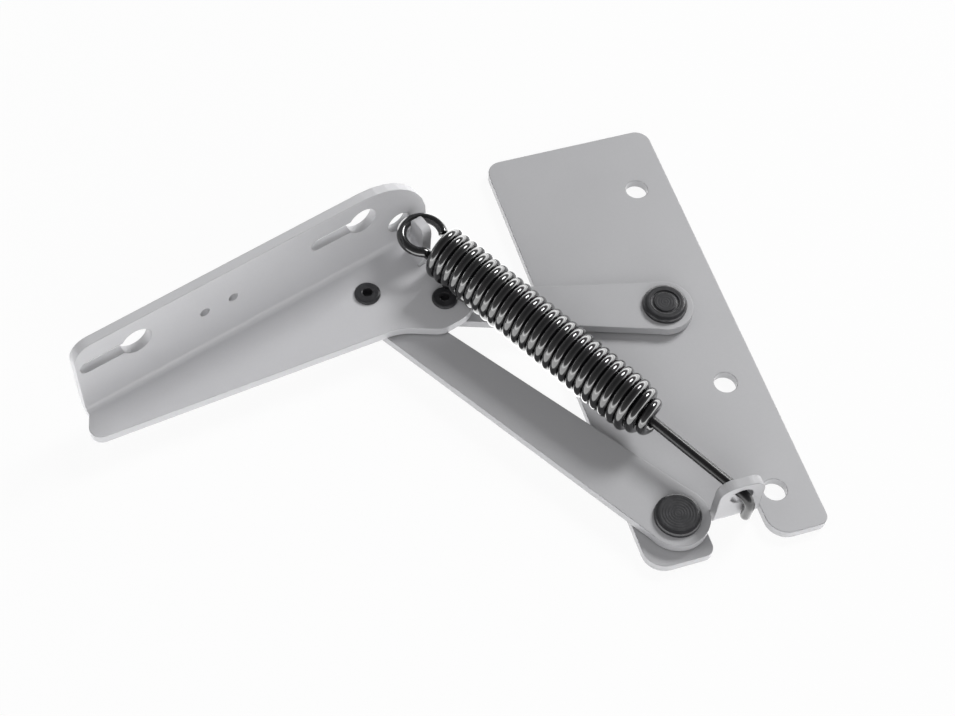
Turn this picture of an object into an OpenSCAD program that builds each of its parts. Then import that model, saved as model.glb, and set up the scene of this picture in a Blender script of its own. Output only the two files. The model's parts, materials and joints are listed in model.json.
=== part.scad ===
// Flap hinge: a frame plate and a flap bracket joined by two links and pulled open by a tension spring.
// Millimetres, drawn open. The plate lies on its mounting face with Z up, Y along its length, and the
// origin is the middle of the screw row on that face.

/* [Frame plate] */
// Sheet thickness of the plate
frame_t = 2.5; // [2:0.1:4]
// Width of the plate
plate_w = 46.5; // [40:0.5:60]
// Length of the plate
plate_h = 127; // [115:1:150]
// Corner radius at the top of the plate
plate_corner = 4; // [1:0.5:8]
// Large corner radius at the plate's two feet
foot_corner = 5.5; // [1:0.5:6]
// Small corner radius at the plate's two feet
foot_round = 2.5; // [1:0.5:4]
// Screw row to the plate's right edge
screw_inset = 9.5; // [7:0.5:12]
// Top screw to the plate's top edge
screw_top = 19; // [12:0.5:25]
// Pitch of the upper pair of screws
screw_long = 64; // [32:32:64]
// Pitch of the lower pair of screws
screw_short = 32; // [32:1:40]
// Screw hole diameter
screw_d = 6; // [4:0.5:7]

/* [Spring lug] */
// Middle of the lug across the plate
lug_x = -12; // [-14:0.25:-11]
// Outer face of the lug along the plate
lug_y = -51.75; // [-53:0.25:-50]
// Width of the lug
lug_w = 11.5; // [10:0.5:12]
// Lug above the middle of its hole
lug_head = 4.75; // [4.25:0.25:9]
// Diameter of the hole in the lug
lug_hole_d = 5.8; // [5.4:0.1:7]
// Inside bend radius of the lug
lug_bend = 1; // [0.5:0.1:2]
// Corner radius of the lug
lug_corner = 4; // [2:0.5:5]
// Clear slot between the lug and the screw side
lug_relief = 1; // [0.75:0.25:1.5]
// Clear slot between the lug and the lower pivot
lug_slot = 2.5; // [1:0.25:2.5]
// Lug's hole below the spring's loop
lug_drop = 5; // [0:0.5:6]

/* [Linkage] */
// Upper frame pivot across the plate
upper_pivot_x = -7.5; // [-9:0.5:-6]
// Upper frame pivot along the plate
upper_pivot_y = 8.5; // [7:0.5:10]
// Lower frame pivot across the plate
lower_pivot_x = -26.5; // [-27.5:0.5:-26]
// Lower frame pivot along the plate
lower_pivot_y = -49.5; // [-50.5:0.5:-48.5]
// Upper link between its pivots
upper_len = 56.5; // [55:0.5:58]
// Lower link between its pivots
lower_len = 96.5; // [94.5:0.5:98]
// Width of the lower link at the frame plate
lower_w = 16; // [14:0.5:16.5]
// Width of the upper link at the frame plate
upper_w = 15; // [14:0.5:16]
// Width of the lower link at the flap bracket
lower_tip_w = 10.5; // [10:0.5:12]
// Width of the upper link at the flap bracket
upper_tip_w = 9.5; // [9:0.5:11]
// Sheet thickness of the links
link_t = 2.5; // [2:0.1:3]
// Thin washer on each side of a link
washer_t = 0.5; // [0.4:0.1:1]
// Flap bracket's angle to the plate's width when open
open_angle = 18; // [12:1:24]

/* [Flap bracket] */
// Sheet thickness of the bracket
flap_t = 2.5; // [2:0.1:3]
// Inside bend radius of the bracket
flap_bend = 1.5; // [1:0.1:2.5]
// Lower flap pivot to the flange's outer face
flange_rise = 12; // [11.5:0.1:14]
// Height of the flange over the web's back
flange_h = 27; // [22:0.5:32]
// Lower flap pivot to the free end
flap_reach = 75; // [70:1:100]
// Lower flap pivot to the hinge end
flap_heel = 24.5; // [24:0.5:30]
// Radius of the flange's corner at the hinge end
heel_corner = 19; // [4:0.5:20]
// Radius of the flange's corner at the free end
toe_corner = 5; // [2:0.5:8]
// Depth of the web at the free end
toe_depth = 10.8; // [8:0.2:14]
// Slant of the web's free end
toe_rake = 4; // [0:0.5:6]
// Upper flap pivot beyond the lower one, along the flange
lever_x = 15.5; // [15:0.25:16.5]
// Upper flap pivot below the lower one
lever_y = 12; // [11:0.25:13]
// Radius of the web round the upper flap pivot
lobe_r = 7.5; // [7:0.25:8]
// Radius of the web's lower corner at the free end
toe_round = 3; // [1:0.5:4]
// Hollow before the upper flap pivot, beyond the lower one
knee_x = 1; // [0:0.25:3]
// Hollow below the upper flap pivot
knee_drop = 1; // [0.4:0.1:3]
// Radius of the hollow before the upper flap pivot
knee_r = 14; // [8:1:18]

/* [Flange holes] */
// Pitch of the two keyholes
key_pitch = 64; // [32:32:64]
// Wide end of the hinge-side keyhole beyond the lower flap pivot
key_x = 5; // [0:0.5:7]
// Keyholes above the web's back
key_h = 19; // [17:0.5:20]
// Diameter of a keyhole's wide end
key_d = 8; // [6:0.5:10]
// Width of a keyhole's slot
key_slot = 4; // [3:0.5:5]
// Length of a keyhole's slot
key_len = 13; // [8:0.5:15]
// Pitch of the two pilot holes
pilot_pitch = 8; // [6:0.5:12]
// Pilot holes between the keyholes, as a share of their pitch
pilot_at = 0.65; // [0.4:0.05:0.65]
// Pilot holes below the keyholes
pilot_below = 3; // [0:0.5:4]
// Pilot hole diameter
pilot_d = 2.6; // [2:0.1:4]
// Fixing hole beyond the lower flap pivot
fix_x = 16; // [14:0.5:18]
// Fixing hole above the web's back
fix_h = 10.5; // [9:0.5:14]
// Fixing hole diameter
fix_d = 6.5; // [5:0.5:7]

/* [Rivets] */
// Shank of the frame rivets
frame_rivet_d = 7; // [5:0.5:8]
// Head of the frame rivets
frame_head_d = 11.5; // [10:0.5:13]
// Height of the frame rivets' heads
frame_head_h = 1.6; // [1.3:0.1:3]
// Shank of the flap rivets
flap_rivet_d = 4.4; // [4:0.1:5]
// Head of the flap rivets
flap_head_d = 6.6; // [6:0.1:7]
// Height of the flap rivets' heads
flap_head_h = 0.9; // [0.6:0.1:1.2]
// Hollow in the head of a flap rivet
hollow_d = 2.6; // [2:0.1:3]
// Depth of that hollow
hollow_deep = 1.6; // [1:0.1:2.4]

/* [Spring] */
// Outside diameter of the coil
spring_od = 14; // [13.4:0.1:14.4]
// Spring wire
wire_d = 2.55; // [2.4:0.05:2.7]
// Close turns of the coil
coil_turns = 25; // [18:1:27]
// Turns in the coned end
cone_turns = 2; // [2:1:3]
// Outside diameter of the loop
loop_od = 13.2; // [12.8:0.1:13.4]
// Loop's middle to the first turn
loop_len = 6.3; // [6.2:0.1:9]
// Spring over the web's front face
spring_lift = 1.5; // [1.3:0.1:2]
// Loop's middle beyond the upper flap pivot, along the flange
loop_past = 3; // [2.5:0.25:4]
// Loop's middle below the flange's outer face
loop_below = 9.5; // [9.5:0.1:10]
// Width of the tab that holds the loop
tab_w = 5.4; // [4:0.1:5.6]
// Tab above the middle of the loop
tab_over = 4.2; // [3:0.2:6]
// Hook rod
rod_d = 2.6; // [2:0.1:3]
// Hook rod's head
rod_head_d = 6.4; // [5.6:0.1:6.6]
// Thickness of the hook rod's head
rod_head_t = 2.4; // [2:0.1:3]
// Hook beyond the middle of the lug
hook_past = 3.6; // [3.4:0.1:5]
// Length of the hook behind the lug
hook_len = 7.5; // [5:0.5:9]

/* [Hidden] */
$fn = 64;

// running clearance on a pivot, axial play of a pivot, and countersink of a rivet's tail
fit = 0.05;
play = 0.05;
sink = 1.4;

// walls of the rings between the layers
frame_wall = 2.8;
spacer_wall = 1.9;
washer_wall = 2.6;

// heights of the layers
link_z = frame_t + washer_t;
web_z = link_z + link_t + washer_t;
spring_z = web_z + flap_t + spring_lift + spring_od / 2;
hook_z = spring_z - lug_drop;

function unit(v) = v / norm(v);
function turned(v, a) = [v.x * cos(a) - v.y * sin(a), v.x * sin(a) + v.y * cos(a)];

// pivots: the lower flap pivot closes the linkage at the open angle
A = [upper_pivot_x, upper_pivot_y];
B = [lower_pivot_x, lower_pivot_y];
lever = [lever_x, -lever_y];
reach_to = A - turned(lever, open_angle) - B;
span = norm(reach_to);
along = (lower_len * lower_len - upper_len * upper_len + span * span) / (2 * span);
aside = sqrt(lower_len * lower_len - along * along);
D = B + along * unit(reach_to) + aside * turned(unit(reach_to), 90);
C = D + turned(lever, open_angle);

// outline with each corner rounded by its own radius
function rounded(p, r) = [
    for (i = [0 : len(p) - 1])
        let (n = len(p), u = unit(p[(i + n - 1) % n] - p[i]), v = unit(p[(i + 1) % n] - p[i]),
             half = acos(u * v) / 2)
            each r[i] == 0 ? [p[i]] :
                let (c = p[i] + unit(u + v) * r[i] / sin(half), s = p[i] + u * r[i] / tan(half) - c,
                     way = u.x * v.y - u.y * v.x > 0 ? -1 : 1, sweep = 180 - 2 * half)
                    [for (k = [0 : 8]) c + turned(s, way * sweep * k / 8)]];

module ring(r_in, r_out, z0, z1) {
    translate([0, 0, z0]) difference() {
        cylinder(r = r_out, h = z1 - z0);
        translate([0, 0, -1]) cylinder(r = r_in, h = z1 - z0 + 2);
    }
}

// hole for a rivet whose countersunk tail ends flush with the face at z0
module sunk_hole(d, z0, t) {
    translate([0, 0, z0 - 1]) cylinder(d = d + 2 * fit, h = t + 2);
    translate([0, 0, z0 - 0.01]) cylinder(r1 = d / 2 + 2 * fit + sink, r2 = d / 2 + fit, h = sink + fit);
}

// strap with round ends between two pivots, tapered from one width to the other and slightly waisted
module strap(p, q, w, tip_w) {
    l = norm(q - p);
    waist = 0.1;
    near = w / 2 - waist;
    far = tip_w / 2 - waist;
    translate([p.x, p.y, link_z]) rotate(atan2(q.y - p.y, q.x - p.x)) {
        linear_extrude(link_t) polygon([[0, near], [0, -near], [l, -far], [l, far]]);
        cylinder(d = w, h = link_t);
        translate([l, 0, 0]) cylinder(d = tip_w, h = link_t);
    }
}

// Frame plate
plate_x1 = screw_inset;
plate_x0 = screw_inset - plate_w;
row = (screw_long + screw_short) / 2;
plate_y1 = row + screw_top;
plate_y0 = plate_y1 - plate_h;
lug_out = lug_bend + frame_t;
S = [lug_x, lug_y + frame_t / 2];

module frame_plate() {
    color([0.70, 0.70, 0.72]) {
        difference() {
            linear_extrude(frame_t) polygon(rounded(
                [[plate_x0, plate_y0], [lug_x - lug_w / 2 - lug_slot, plate_y0],
                 [lug_x - lug_w / 2 - lug_slot, lug_y + lug_out],
                 [lug_x + lug_w / 2 + lug_relief, lug_y + lug_out],
                 [lug_x + lug_w / 2 + lug_relief, plate_y0], [plate_x1, plate_y0],
                 [plate_x1, plate_y1], [plate_x0, plate_y1]],
                [foot_corner, foot_round, 0, 0, foot_corner, foot_round, plate_corner, plate_corner]));
            for (y = [row, row - screw_long, -row])
                translate([0, y, -1]) cylinder(d = screw_d, h = frame_t + 2);
            translate([A.x, A.y, 0]) sunk_hole(frame_rivet_d, 0, frame_t);
            translate([B.x, B.y, 0]) sunk_hole(frame_rivet_d, 0, frame_t);
        }
        // lug: bend, then the upright with its hole
        translate([lug_x - lug_w / 2, lug_y + lug_out, lug_out]) rotate([90, 0, 90]) linear_extrude(lug_w)
            intersection() {
                difference() {
                    circle(r = lug_out);
                    circle(r = lug_bend);
                }
                translate([-lug_out, -lug_out]) square(lug_out);
            }
        difference() {
            translate([lug_x, lug_y + frame_t, 0]) rotate([90, 0, 0]) linear_extrude(frame_t) polygon(rounded(
                [[-lug_w / 2, lug_out], [lug_w / 2, lug_out],
                 [lug_w / 2, hook_z + lug_head], [-lug_w / 2, hook_z + lug_head]],
                [0, 0, lug_corner, lug_corner]));
            translate([lug_x, lug_y - 1, hook_z]) rotate([-90, 0, 0]) cylinder(d = lug_hole_d, h = frame_t + 2);
        }
    }
}

// Frame rivets: countersunk tail, shank, flat head with a rounded rim
module frame_rivet(top, groove) {
    r = frame_rivet_d / 2;
    h = frame_head_d / 2;
    crown = top + frame_head_h;
    rim = 0.9;
    rotate_extrude() difference() {
        polygon([[0, 0], [r + sink, 0], [r, sink], [r, top], [h, top], [h, crown - rim],
                 [h - rim * 0.3, crown - rim * 0.4], [h - rim, crown], [0, crown]]);
        if (groove)
            translate([h / 2, crown - rim / 3]) square([h / 8, rim]);
    }
}

module upper_frame_rivet() {
    color([0.20, 0.20, 0.22]) translate([A.x, A.y, 0]) frame_rivet(link_z + link_t + play, true);
}

module lower_frame_rivet() {
    color([0.20, 0.20, 0.22]) translate([B.x, B.y, 0]) frame_rivet(link_z + link_t + play, false);
}

module upper_frame_spacer() {
    color([0.55, 0.55, 0.57]) translate([A.x, A.y, 0])
        ring(frame_rivet_d / 2 + fit, frame_rivet_d / 2 + frame_wall, frame_t, link_z - play);
}

module lower_frame_washer() {
    color([0.55, 0.55, 0.57]) translate([B.x, B.y, 0])
        ring(frame_rivet_d / 2 + fit, frame_rivet_d / 2 + frame_wall, frame_t, link_z - play);
}

// Links
module lower_link() {
    color([0.72, 0.72, 0.74]) difference() {
        strap(B, D, lower_w, lower_tip_w);
        translate([B.x, B.y, link_z - 1]) cylinder(d = frame_rivet_d + 2 * fit, h = link_t + 2);
        translate([D.x, D.y, 0]) sunk_hole(flap_rivet_d, link_z, link_t);
    }
}

module upper_link() {
    color([0.74, 0.74, 0.76]) difference() {
        strap(A, C, upper_w, upper_tip_w);
        translate([A.x, A.y, link_z - 1]) cylinder(d = frame_rivet_d + 2 * fit, h = link_t + 2);
        translate([C.x, C.y, 0]) sunk_hole(flap_rivet_d, link_z, link_t);
    }
}

// Flap bracket, drawn from its lower pivot with X along the flange
flap_out = flap_bend + flap_t;
flat_y = flange_rise - flap_out;
coil_r = (spring_od - wire_d) / 2;
loop_r = (loop_od - wire_d) / 2;
loop_x = lever_x + loop_past;
loop_y = flange_rise - loop_below;
tab_clear = 0.6;
tab_top = loop_y + loop_r - wire_d / 2 - tab_clear;
tab_out = loop_x + flap_t / 2;
slit = 0.8;

module flap_bracket() {
    color([0.73, 0.73, 0.75]) translate([D.x, D.y, 0]) rotate(open_angle) {
        // web, cut back where the tab is bent up
        difference() {
            translate([0, 0, web_z]) linear_extrude(flap_t) polygon(rounded(
                [[-flap_reach, flat_y], [-flap_reach - toe_rake, flange_rise - toe_depth],
                 [knee_x, -lever_y - knee_drop], [lever_x - lobe_r * 0.75, -lever_y - lobe_r],
                 [lever_x + lobe_r, -lever_y - lobe_r], [lever_x + lobe_r, tab_top - tab_w - slit],
                 [tab_out - flap_out, tab_top - tab_w - slit], [tab_out - flap_out, tab_top + slit],
                 [flap_heel, tab_top + slit], [flap_heel, flat_y]],
                [0, toe_round, knee_r, lobe_r * 0.75, lobe_r, slit, 0, 0, 0, 0]));
            translate([0, 0, web_z - 1]) cylinder(d = flap_rivet_d + 2 * fit, h = flap_t + 2);
            translate([lever_x, -lever_y, web_z - 1]) cylinder(d = flap_rivet_d + 2 * fit, h = flap_t + 2);
        }
        // fold between web and flange
        translate([-flap_reach, flat_y, web_z + flap_out]) rotate([90, 0, 90])
            linear_extrude(flap_reach + flap_heel) intersection() {
                difference() {
                    circle(r = flap_out);
                    circle(r = flap_bend);
                }
                translate([0, -flap_out]) square(flap_out);
            }
        // flange with its holes
        difference() {
            translate([0, flange_rise, web_z]) rotate([90, 0, 0]) linear_extrude(flap_t) polygon(rounded(
                [[-flap_reach, flap_out], [flap_heel, flap_out],
                 [flap_heel, flange_h], [-flap_reach, flange_h]],
                [0, 0, heel_corner, toe_corner]));
            translate([0, flange_rise + 1, web_z]) rotate([90, 0, 0]) {
                for (x = [key_x, key_x - key_pitch]) translate([x, key_h, 0]) {
                    cylinder(d = key_d, h = flap_t + 2);
                    translate([-key_len, -key_slot / 2, 0]) cube([key_len, key_slot, flap_t + 2]);
                    translate([-key_len, 0, 0]) cylinder(d = key_slot, h = flap_t + 2);
                }
                for (k = [-0.5, 0.5])
                    translate([key_x - key_pitch * pilot_at + k * pilot_pitch, key_h - pilot_below, 0])
                        cylinder(d = pilot_d, h = flap_t + 2);
                translate([fix_x, fix_h, 0]) cylinder(d = fix_d, h = flap_t + 2);
            }
        }
        // tab that holds the spring's loop
        translate([tab_out - flap_out, tab_top, web_z + flap_out]) rotate([90, 0, 0]) linear_extrude(tab_w)
            intersection() {
                difference() {
                    circle(r = flap_out);
                    circle(r = flap_bend);
                }
                translate([0, -flap_out]) square(flap_out);
            }
        translate([tab_out - flap_t, tab_top, 0]) rotate([90, 0, 90]) linear_extrude(flap_t) polygon(rounded(
            [[-tab_w, web_z + flap_out], [0, web_z + flap_out],
             [0, spring_z + tab_over], [-tab_w, spring_z + tab_over]],
            [0, 0, tab_w / 3, tab_w / 3]));
    }
}

// Flap rivets
module flap_rivet_head(z0) {
    h = flap_head_d / 2;
    rotate_extrude() difference() {
        polygon([[0, z0], [flap_rivet_d / 2, z0], [flap_rivet_d / 2, web_z + flap_t], [h, web_z + flap_t],
                 [h, web_z + flap_t + flap_head_h - 0.4], [h - 0.4, web_z + flap_t + flap_head_h],
                 [0, web_z + flap_t + flap_head_h]]);
        translate([-1, web_z + flap_t + flap_head_h - hollow_deep]) square([1 + hollow_d / 2, hollow_deep + 1]);
    }
}

module sunk_tail(z0, z1) {
    r = flap_rivet_d / 2;
    rotate_extrude() polygon([[0, z0], [r + sink, z0], [r, z0 + sink], [r, z1], [0, z1]]);
}

module lower_flap_rivet() {
    color([0.20, 0.20, 0.22]) translate([D.x, D.y, 0]) {
        flap_rivet_head(link_z + link_t);
        sunk_tail(link_z, link_z + link_t);
    }
}

module upper_flap_rivet() {
    color([0.20, 0.20, 0.22]) translate([C.x, C.y, 0]) flap_rivet_head(web_z - washer_t + play);
}

module upper_flap_rivet_tail() {
    color([0.20, 0.20, 0.22]) translate([C.x, C.y, 0]) sunk_tail(link_z, link_z + link_t);
}

module lower_flap_spacer() {
    color([0.55, 0.55, 0.57]) translate([D.x, D.y, 0])
        ring(flap_rivet_d / 2 + fit, flap_rivet_d / 2 + spacer_wall, link_z + link_t + play, web_z);
}

module upper_flap_washer() {
    color([0.55, 0.55, 0.57]) translate([C.x, C.y, 0])
        ring(flap_rivet_d / 2 + fit, flap_rivet_d / 2 + washer_wall, link_z + link_t + play, web_z);
}

// Spring and hook rod, drawn along X from the middle of the loop to the lug
T = D + turned([loop_x, loop_y], open_angle);
fall = atan2(lug_drop, norm(S - T));
reach = norm([norm(S - T), lug_drop]);
pitch = wire_d + 0.03;
cone_r = rod_d / 2 + wire_d / 2 + 0.45;
cone_x = loop_len + pitch * coil_turns;

function loop_at(a) = [loop_r * cos(a), loop_r * sin(a), 0];
function coil_at(n) =
    let (a = 360 * n - 90, r = coil_r - (coil_r - cone_r) * max(0, n - coil_turns) / cone_turns)
        [loop_len + pitch * n, r * cos(a), r * sin(a)];
function curve(p, q, u, v, t) =
    pow(1 - t, 3) * p + 3 * t * pow(1 - t, 2) * (p + u) + 3 * t * t * (1 - t) * (q - v) + pow(t, 3) * q;

module along_spring() {
    translate([T.x, T.y, spring_z]) rotate([0, fall, atan2(S.y - T.y, S.x - T.x)]) children();
}

// wire swept along a path, its section carried from point to point without twist
module wire(path, r, sides = 8) {
    n = len(path);
    t = [for (i = [0 : n - 1]) unit(path[min(i + 1, n - 1)] - path[max(i - 1, 0)])];
    side = [for (i = 0, v = [0, 0, 1]; i < n; i = i + 1, v = i < n ? unit(v - (v * t[i]) * t[i]) : v) v];
    points = [for (i = [0 : n - 1]) let (u = unit(side[i] - (side[i] * t[i]) * t[i]), w = cross(t[i], u))
        for (j = [0 : sides - 1]) path[i] + r * (cos(360 * j / sides) * u + sin(360 * j / sides) * w)];
    faces = [
        for (i = [0 : n - 2]) for (j = [0 : sides - 1]) let (a = i * sides + j, b = i * sides + (j + 1) % sides)
            each [[a, a + sides, b + sides], [a, b + sides, b]],
        [for (j = [0 : sides - 1]) j],
        [for (j = [0 : sides - 1]) n * sides - 1 - j]];
    polyhedron(points, faces, convexity = 10);
}

module tension_spring() {
    first = 48;
    last = 312;
    lead = 3.2;
    steps = 16;
    turns = coil_turns + cone_turns;
    path = concat(
        [for (k = [0 : 12]) loop_at(first + (last - first) * k / 12)],
        [for (k = [1 : 5])
            curve(loop_at(last), coil_at(0), lead * [-sin(last), cos(last), 0], [0, lead, 0], k / 6)],
        [for (k = [0 : turns * steps]) coil_at(k / steps)]);
    color([0.08, 0.08, 0.09]) along_spring() wire(path, wire_d / 2);
}

module hook_rod() {
    r = rod_d / 2;
    head = cone_x - 1;
    past = reach + hook_past;
    color([0.08, 0.08, 0.09]) along_spring() {
        translate([head, 0, 0]) rotate([0, 90, 0]) cylinder(d = rod_head_d, h = rod_head_t);
        translate([head, 0, 0]) rotate([0, 90, 0]) cylinder(r = r, h = past - head);
        translate([past, 0, 0]) sphere(r = r + 0.03);
        translate([past, 0, -hook_len]) cylinder(r = r, h = hook_len);
    }
}

frame_plate();
upper_frame_rivet();
upper_frame_spacer();
lower_frame_rivet();
lower_frame_washer();
lower_link();
upper_link();
upper_flap_rivet_tail();
flap_bracket();
lower_flap_rivet();
lower_flap_spacer();
upper_flap_rivet();
upper_flap_washer();
tension_spring();
hook_rod();
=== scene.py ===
"""Looks of a sprung flap hinge: pressed grey plates, dark rivets and a glossy black tension spring."""

import itertools
import json
import math

import bpy
import numpy as np
from mathutils import Matrix, Vector


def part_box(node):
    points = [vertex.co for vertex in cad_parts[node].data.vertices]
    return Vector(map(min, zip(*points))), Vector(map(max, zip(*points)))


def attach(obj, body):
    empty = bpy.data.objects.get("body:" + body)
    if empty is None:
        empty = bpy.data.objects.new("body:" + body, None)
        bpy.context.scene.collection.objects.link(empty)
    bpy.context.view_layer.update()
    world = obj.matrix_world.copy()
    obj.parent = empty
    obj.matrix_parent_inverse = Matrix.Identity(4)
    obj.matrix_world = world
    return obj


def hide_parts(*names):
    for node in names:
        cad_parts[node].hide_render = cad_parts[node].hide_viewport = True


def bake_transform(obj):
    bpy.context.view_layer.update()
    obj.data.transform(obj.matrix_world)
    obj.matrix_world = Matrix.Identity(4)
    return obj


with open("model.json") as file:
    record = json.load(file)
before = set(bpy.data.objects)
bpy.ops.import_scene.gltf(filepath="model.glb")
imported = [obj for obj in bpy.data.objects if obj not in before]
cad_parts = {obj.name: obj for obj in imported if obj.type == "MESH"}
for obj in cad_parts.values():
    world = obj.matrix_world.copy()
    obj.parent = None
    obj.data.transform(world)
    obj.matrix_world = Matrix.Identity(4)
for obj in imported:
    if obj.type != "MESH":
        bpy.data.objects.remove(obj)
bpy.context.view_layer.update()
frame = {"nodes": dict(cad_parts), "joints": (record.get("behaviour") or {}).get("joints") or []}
joints = {joint["name"]: joint for joint in frame["joints"]}


# Frame plate
# The plate that is screwed to the cabinet side, stamped from steel sheet, with a lug bent up for the spring.
# Its grey coat is satin and nearly even, with a fine grain and soft edges from the press.
class Socket:
    """A shader socket that takes part in Python arithmetic: each operation adds one Math node."""

    def __init__(self, tree, socket=None):
        self.tree = tree
        self.socket = socket

    def node(self, kind, settings=None, inputs=None, out=0):
        """Adds a node of that type, sets its settings, then the values or links of its inputs."""
        made = self.tree.nodes.new(kind)
        for name, value in (settings or {}).items():
            setattr(made, name, value)
        for name, value in (inputs or {}).items():
            if isinstance(value, Socket):
                self.tree.links.new(value.socket, made.inputs[name])
            else:
                made.inputs[name].default_value = value
        return Socket(self.tree, made.outputs[out] if made.outputs else None)

    def maths(self, operation, left, right):
        return self.node("ShaderNodeMath", {"operation": operation}, {0: left, 1: right})

    def __add__(self, other):
        return self.maths("ADD", self, other)

    def __radd__(self, other):
        return self.maths("ADD", other, self)

    def __rsub__(self, other):
        return self.maths("SUBTRACT", other, self)

    def __mul__(self, other):
        return self.maths("MULTIPLY", self, other)

    def __rmul__(self, other):
        return self.maths("MULTIPLY", other, self)


def blank_material(name):
    """An empty material and the socket maker of its node tree."""
    material = bpy.data.materials.new(name)
    material.use_nodes = True
    material.node_tree.nodes.clear()
    return material, Socket(material.node_tree)


def noise(maker, place, scale, detail=3.0):
    """Cloudy grey noise about 0.5, at that many patches to the metre."""
    return maker.node("ShaderNodeTexNoise", {}, {"Vector": place, "Scale": scale, "Detail": detail})


def tint(maker, share, dark, light):
    """The colour that lies that share of the way from dark to light."""
    return maker.node(
        "ShaderNodeMix",
        {"data_type": "RGBA"},
        {"Factor": share, 6: (*dark, 1.0), 7: (*light, 1.0)},
        out=2,
    )


def shade(maker, inputs):
    """A Principled surface with those inputs, joined to the material's output."""
    surface = maker.node("ShaderNodeBsdfPrincipled", {}, inputs)
    maker.node("ShaderNodeOutputMaterial", {}, {"Surface": surface})


def pressed_steel(name, dark, light):
    """Coated sheet: slow clouds and a fine grain in colour and roughness, with press-rounded edges."""
    material, maker = blank_material(name)
    place = maker.node("ShaderNodeTexCoord", out="Object")
    cloud = noise(maker, place, 42.0)
    grain = noise(maker, place, 1500.0, 4.0)
    scuff = noise(maker, place, 210.0, 6.0)
    share = 0.55 * cloud + 0.3 * grain + 0.15 * scuff
    edge = maker.node("ShaderNodeBevel", {"samples": 6}, {"Radius": 0.0004})
    relief = maker.node(
        "ShaderNodeBump", {}, {"Strength": 0.22, "Distance": 0.00003, "Height": grain, "Normal": edge}
    )
    shade(
        maker,
        {
            "Base Color": tint(maker, share, dark, light),
            "Metallic": 0.05,
            "Roughness": 0.40 + 0.12 * scuff + 0.08 * cloud,
            "Normal": relief,
        },
    )
    return material


def finish_nodes(names, material):
    """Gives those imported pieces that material."""
    for name in names:
        frame["nodes"][name].data.materials.clear()
        frame["nodes"][name].data.materials.append(material)


plate_grey = pressed_steel("satin_grey_plate", (0.39, 0.39, 0.402), (0.46, 0.46, 0.472))
finish_nodes(["frame_plate"], plate_grey)


# Frame rivets
# Two large shouldered rivets of dark oxidised steel that carry the links on the plate.
# They are turned and then headed, so their flat heads keep faint rings round the axis.
def dark_rivet(name, axis):
    """Dark oxide with turning rings: a sine of the distance from the rivet's axis."""
    material, maker = blank_material(name)
    place = maker.node("ShaderNodeTexCoord", out="Object")
    off = maker.node("ShaderNodeVectorMath", {"operation": "SUBTRACT"}, {0: place, 1: axis})
    flat = maker.node("ShaderNodeVectorMath", {"operation": "MULTIPLY"}, {0: off, 1: (1.0, 1.0, 0.0)})
    radius = maker.node("ShaderNodeVectorMath", {"operation": "LENGTH"}, {0: flat}, out="Value")
    rings = maker.node("ShaderNodeMath", {"operation": "SINE"}, {0: 9000.0 * radius})
    grain = noise(maker, place, 900.0)
    edge = maker.node("ShaderNodeBevel", {"samples": 6}, {"Radius": 0.0003})
    relief = maker.node(
        "ShaderNodeBump",
        {},
        {"Strength": 0.25, "Distance": 0.00004, "Height": 0.5 * rings + grain, "Normal": edge},
    )
    shade(
        maker,
        {
            "Base Color": tint(maker, grain, (0.018, 0.018, 0.020), (0.040, 0.040, 0.043)),
            "Metallic": 0.2,
            "Roughness": 0.25 + 0.10 * grain,
            "Normal": relief,
        },
    )
    return material


for rivet, pivot in (("upper_frame_rivet", "upper_link_pivot"), ("lower_frame_rivet", "lower_link_pivot")):
    finish_nodes([rivet], dark_rivet(rivet + "_oxide", joints[pivot]["pos_m"]))


# Links with their spacers and washers
# Two flat straps of the same coated sheet, blanked with round ends and tapered towards the bracket.
# They lie side by side in one layer, with thin rings that keep them off the plate and the web.
link_grey = pressed_steel("satin_grey_link", (0.38, 0.38, 0.392), (0.45, 0.45, 0.462))
finish_nodes(["lower_link", "upper_link"], link_grey)
ring_grey = pressed_steel("plain_grey_ring", (0.30, 0.30, 0.315), (0.40, 0.40, 0.415))
finish_nodes(["upper_frame_spacer", "lower_frame_washer"], ring_grey)
finish_nodes(["upper_flap_washer", "lower_flap_spacer"], ring_grey)


# Flap bracket
# The folded angle that carries the flap board on its flange, keyholed so that it hooks over screw heads.
# It is cut and bent from one sheet, with a tab bent up at the hinge end for the spring's loop.
flap_grey = pressed_steel("satin_grey_flap", (0.50, 0.50, 0.515), (0.58, 0.58, 0.595))
finish_nodes(["flap_bracket"], flap_grey)


# Flap rivets
# Small hollow rivets of dark steel whose ends are rolled over on the bracket's web.
# The upper one joins the bracket to the short link, the lower one to the long link.
for rivet in ("lower_flap_rivet", "upper_flap_rivet"):
    low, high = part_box(rivet)
    middle = ((low[0] + high[0]) / 2, (low[1] + high[1]) / 2, 0.0)
    finish_nodes([rivet], dark_rivet(rivet + "_oxide", middle))
finish_nodes(["upper_flap_rivet_tail"], frame["nodes"]["upper_flap_rivet"].data.materials[0])


# Tension spring
# A close-wound coil of hard black wire with a round loop over the bracket's tab at one end.
# The last turns narrow to a cone, which holds the hook rod's head inside the coil.
WIRE = 0.00255
COIL_RADIUS = 0.005725
PITCH = 0.00258
CLOSE_TURNS = 25
CONE_TURNS = 2
CONE_RADIUS = 0.003025
LOOP_RADIUS = 0.005325
LOOP_TO_COIL = 0.0063
LOOP_TO_LUG = 0.103116
LOOP_START = math.radians(48)
LOOP_END = math.radians(312)
LEAD_REACH = 0.0032
LOOP_STEPS = 64
LEAD_STEPS = 18
STEPS_A_TURN = 48
WIRE_SIDES = 20

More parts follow.
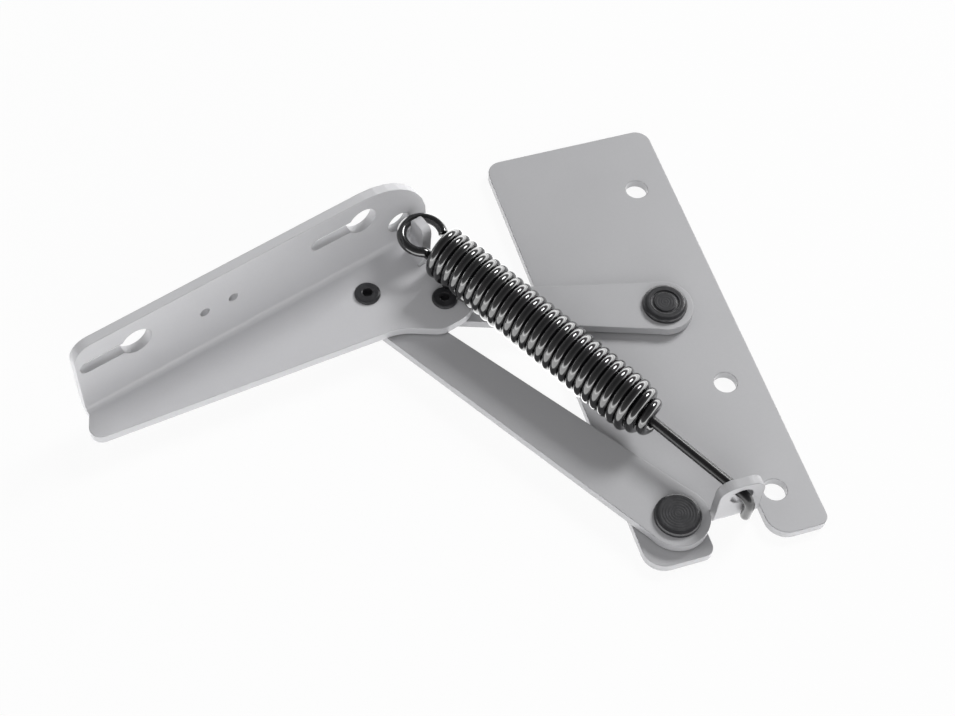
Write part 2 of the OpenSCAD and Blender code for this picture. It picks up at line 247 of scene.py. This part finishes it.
lug_hole = Vector(joints["rod_swing"]["pos_m"])
pull = Vector(joints["spring_stretch"]["axis"]).normalized()
loop_middle = lug_hole + LOOP_TO_LUG * pull
across = Vector((0, 0, 1)).cross(-pull).normalized()
above = (-pull).cross(across)


def on_spring(points):
    """Points given along the spring from its loop, across it and up, as points of the part."""
    axes = np.array((-pull, across, above))
    return np.array(loop_middle) + points @ axes


def tube(name, path, radius, sides):
    """A round wire: a circle carried along the path, with the least turn from each point to the next."""
    ahead = np.gradient(path, axis=0)
    ahead /= np.linalg.norm(ahead, axis=1)[:, None]

    def carry(side, direction):
        side = side - side.dot(direction) * direction
        return side / np.linalg.norm(side)

    first = carry(np.array((0.0, 0.0, 1.0)) + 0.1 * np.array(across), ahead[0])
    side = np.array(list(itertools.accumulate(ahead[1:], carry, initial=first)))
    upright = np.cross(ahead, side)
    angle = np.linspace(0, 2 * np.pi, sides, endpoint=False)
    circle = np.cos(angle)[None, :, None] * side[:, None] + np.sin(angle)[None, :, None] * upright[:, None]
    rings = path[:, None] + radius * circle
    count = len(path)
    corner = np.arange(count * sides).reshape(count, sides)
    after = np.roll(corner, -1, axis=1)
    walls = np.stack((corner[:-1], after[:-1], after[1:], corner[1:]), axis=2).reshape(-1, 4)
    ends = [corner[0, ::-1].tolist(), corner[-1].tolist()]
    mesh = bpy.data.meshes.new(name)
    mesh.from_pydata(rings.reshape(-1, 3).tolist(), [], walls.tolist() + ends)
    mesh.shade_smooth()
    piece = bpy.data.objects.new(name, mesh)
    bpy.context.scene.collection.objects.link(piece)
    return piece


def coil_path(turns):
    """A helix round the spring's axis whose radius shrinks evenly over the coned turns."""
    angle = 2 * np.pi * turns - np.pi / 2
    share = np.clip((turns - CLOSE_TURNS) / CONE_TURNS, 0, 1)
    radius = COIL_RADIUS - (COIL_RADIUS - CONE_RADIUS) * share
    return np.stack((LOOP_TO_COIL + PITCH * turns, radius * np.cos(angle), radius * np.sin(angle)), axis=1)


def swoop(start, end, leave, arrive, steps):
    """A cubic curve from start to end that leaves and arrives along the two given vectors."""
    t = np.linspace(0, 1, steps)[1:-1, None]
    return (
        (1 - t) ** 3 * start
        + 3 * t * (1 - t) ** 2 * (start + leave)
        + 3 * t**2 * (1 - t) * (end - arrive)
        + t**3 * end
    )


def black_wire(name, index, dullest):
    """Black lacquer of that index and roughness over drawn wire, with orange peel and glossier patches."""
    material, maker = blank_material(name)
    place = maker.node("ShaderNodeTexCoord", out="Object")
    patch = noise(maker, place, 160.0)
    peel = noise(maker, place, 1300.0)
    relief = maker.node("ShaderNodeBump", {}, {"Strength": 0.12, "Distance": 0.00003, "Height": peel})
    shade(
        maker,
        {
            "Base Color": tint(maker, patch, (0.003, 0.003, 0.0035), (0.008, 0.008, 0.009)),
            "Roughness": dullest - 0.08 * patch,
            "IOR": index,
            "Coat Weight": 0.3,
            "Coat Roughness": 0.08,
            "Normal": relief,
        },
    )
    return material


spring_black = black_wire("glossy_black_wire", 1.8, 0.17)
bow = np.linspace(LOOP_START, LOOP_END, LOOP_STEPS)
loop = np.stack((LOOP_RADIUS * np.cos(bow), LOOP_RADIUS * np.sin(bow), 0 * bow), axis=1)
all_turns = CLOSE_TURNS + CONE_TURNS
coil = coil_path(np.linspace(0, all_turns, STEPS_A_TURN * all_turns + 1))
leave = LEAD_REACH * np.array((-math.sin(LOOP_END), math.cos(LOOP_END), 0.0))
lead = swoop(loop[-1], coil[0], leave, np.array((0.0, LEAD_REACH, 0.0)), LEAD_STEPS)
wound = tube("wound_spring", on_spring(np.concatenate((loop, lead, coil))), WIRE / 2, WIRE_SIDES)
wound.data.materials.append(spring_black)
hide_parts("tension_spring")
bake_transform(wound)


# Hook rod
# A black wire rod whose upset head sits in the coned end and whose other end is hooked behind the lug.
# It is headed cold and then bent, so the hook has a round bend.
ROD = 0.0026
HEAD = 0.0064
HEAD_LENGTH = 0.0024
HOOK_BEND = 0.003
HOOK_DROP = 0.0075
PAST_LUG = 0.0006
HEAD_INTO_CONE = 0.0014
HEAD_RIM = 0.0006
ROD_SIDES = 24
HEAD_SIDES = 32

head_face = LOOP_TO_COIL + PITCH * CLOSE_TURNS + HEAD_INTO_CONE
bend_start = LOOP_TO_LUG + PAST_LUG
straight = np.linspace(head_face - HEAD_LENGTH, bend_start, 24)
turn = np.linspace(0, np.pi / 2, 14)[1:]
drop = np.linspace(-HOOK_BEND, -HOOK_DROP, 8)[1:]
rod_line = np.concatenate(
    (
        np.stack((straight, 0 * straight, 0 * straight), axis=1),
        np.stack((bend_start + HOOK_BEND * np.sin(turn), 0 * turn, HOOK_BEND * (np.cos(turn) - 1)), axis=1),
        np.stack((0 * drop + bend_start + HOOK_BEND, 0 * drop, drop), axis=1),
    )
)
rod = tube("bent_hook_rod", on_spring(rod_line), ROD / 2, ROD_SIDES)
rod_black = black_wire("satin_black_rod", 1.4, 0.46)
rod.data.materials.append(rod_black)
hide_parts("hook_rod")
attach(rod, "hook_rod")


def turned_piece(name, profile, sides):
    """A turned piece: pairs of length along the spring and radius, spun round the spring's axis."""
    angle = np.linspace(0, 2 * np.pi, sides, endpoint=False)
    length = np.repeat(profile[:, :1], sides, axis=1)
    points = np.stack((length, profile[:, 1:] * np.cos(angle), profile[:, 1:] * np.sin(angle)), axis=2)
    corner = np.arange(len(profile) * sides).reshape(-1, sides)
    after = np.roll(corner, -1, axis=1)
    walls = np.stack((corner[:-1], corner[1:], after[1:], after[:-1]), axis=2).reshape(-1, 4)
    ends = [corner[0].tolist(), corner[-1, ::-1].tolist()]
    mesh = bpy.data.meshes.new(name)
    mesh.from_pydata(on_spring(points.reshape(-1, 3)).tolist(), [], walls.tolist() + ends)
    mesh.shade_smooth()
    piece = bpy.data.objects.new(name, mesh)
    bpy.context.scene.collection.objects.link(piece)
    return piece


rim = np.linspace(0, np.pi / 2, 7)
rounded_rim = np.stack((HEAD_RIM * (1 - np.cos(rim)), HEAD / 2 - HEAD_RIM * (1 - np.sin(rim))), axis=1)
head_profile = np.concatenate((rounded_rim, np.array((HEAD_LENGTH, 0.0)) + rounded_rim[::-1] * (-1, 1)))
head_profile[:, 0] += head_face - HEAD_LENGTH
head = turned_piece("rod_head", head_profile, HEAD_SIDES)
head.data.materials.append(rod_black)
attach(head, "hook_rod")


# Floor, light and camera
# A white floor and light from the right, so that the spring's shadow falls on the lower link.
# The camera stands where the screw holes and keyholes of the photograph put it.
FLOOR_DROP = 0.0004
FLOOR_REACH = 3.0
PART_MIDDLE = Vector((-0.06, 0.0, 0.0))
IMAGE_WIDTH = 955
FOCAL_PIXELS = 1799
NEAREST_SEEN = 0.01
CAMERA_PLACE = Vector((-0.1504, -0.2212, 0.3825))
CAMERA_AHEAD = Vector((0.204, 0.506, -0.838)).normalized()
CAMERA_UP = Vector((0.232, 0.807, 0.543))

floor_mesh = bpy.data.meshes.new("floor")
floor_signs = ((-1, -1), (1, -1), (1, 1), (-1, 1))
floor_corners = [(x * FLOOR_REACH, y * FLOOR_REACH, -FLOOR_DROP) for x, y in floor_signs]
floor_mesh.from_pydata(floor_corners, [], [(0, 1, 2, 3)])
floor = bpy.data.objects.new("floor", floor_mesh)
bpy.context.scene.collection.objects.link(floor)
floor_white, maker = blank_material("white_floor")
rays = maker.node("ShaderNodeLightPath", out="Is Camera Ray")
glossy = maker.node("ShaderNodeLightPath", out="Is Glossy Ray")
plain = maker.node("ShaderNodeBsdfDiffuse", {}, {"Color": (0.80, 0.80, 0.80, 1.0)})
white = maker.node("ShaderNodeEmission", {}, {"Color": (1.0, 1.0, 1.0, 1.0), "Strength": 1.0})
bright = maker.node("ShaderNodeEmission", {}, {"Color": (1.0, 1.0, 1.0, 1.0), "Strength": 3.0})
mixed = maker.node("ShaderNodeMixShader", {}, {0: 0.93 * rays, 1: plain, 2: white})
mirrored = maker.node("ShaderNodeMixShader", {}, {0: glossy, 1: mixed, 2: bright})
maker.node("ShaderNodeOutputMaterial", {}, {"Surface": mirrored})
floor_mesh.materials.append(floor_white)

world = bpy.data.worlds.new("studio")
world.use_nodes = True
world.node_tree.nodes.clear()
maker = Socket(world.node_tree)
towards = maker.node("ShaderNodeTexCoord", out="Generated")
height = maker.node("ShaderNodeSeparateXYZ", {}, {0: towards}, out=2)
rays = maker.node("ShaderNodeLightPath", out="Is Camera Ray")
glossy = maker.node("ShaderNodeLightPath", out="Is Glossy Ray")
fade = {"Value": height, "From Max": 0.24, "To Min": 1.0, "To Max": 0.0}
horizon = maker.node("ShaderNodeMapRange", {}, fade)


def backdrop(level):
    """An even grey backdrop of that brightness."""
    return maker.node("ShaderNodeBackground", {}, {"Color": (1.0, 1.0, 1.0, 1.0), "Strength": level})


sky = maker.node("ShaderNodeMixShader", {}, {0: height, 1: backdrop(0.50), 2: backdrop(0.10)})
mirrored = maker.node("ShaderNodeMixShader", {}, {0: glossy * horizon, 1: sky, 2: backdrop(7.0)})
seen = maker.node("ShaderNodeMixShader", {}, {0: rays, 1: mirrored, 2: backdrop(1.0)})
maker.node("ShaderNodeOutputWorld", {}, {"Surface": seen})
bpy.context.scene.world = world


def soft_lamp(name, place, size, power, mirrored):
    """A square area lamp at place, facing the part, which the glossy pieces mirror or don't."""
    lamp = bpy.data.lights.new(name, "AREA")
    lamp.size = size
    lamp.energy = power
    holder = bpy.data.objects.new(name, lamp)
    holder.location = place
    holder.rotation_euler = (PART_MIDDLE - Vector(place)).to_track_quat("-Z", "Y").to_euler()
    holder.visible_glossy = mirrored
    bpy.context.scene.collection.objects.link(holder)


soft_lamp("right", (0.92, 0.56, 0.99), 0.45, 15.0, True)
soft_lamp("left", (-0.60, 0.10, 0.72), 0.50, 1.0, False)
soft_lamp("front", (-0.15, -0.90, 0.45), 0.80, 5.0, False)

camera_data = bpy.data.cameras.new("camera")
camera_data.sensor_fit = "HORIZONTAL"
camera_data.lens = camera_data.sensor_width * FOCAL_PIXELS / IMAGE_WIDTH
camera_data.clip_start = NEAREST_SEEN
right = CAMERA_AHEAD.cross(CAMERA_UP).normalized()
camera = bpy.data.objects.new("camera", camera_data)
turned_to = Matrix((right, right.cross(CAMERA_AHEAD), -CAMERA_AHEAD)).transposed().to_4x4()
camera.matrix_world = Matrix.Translation(CAMERA_PLACE) @ turned_to
bpy.context.scene.collection.objects.link(camera)
bpy.context.scene.camera = camera
bpy.context.scene.view_settings.view_transform = "Standard"
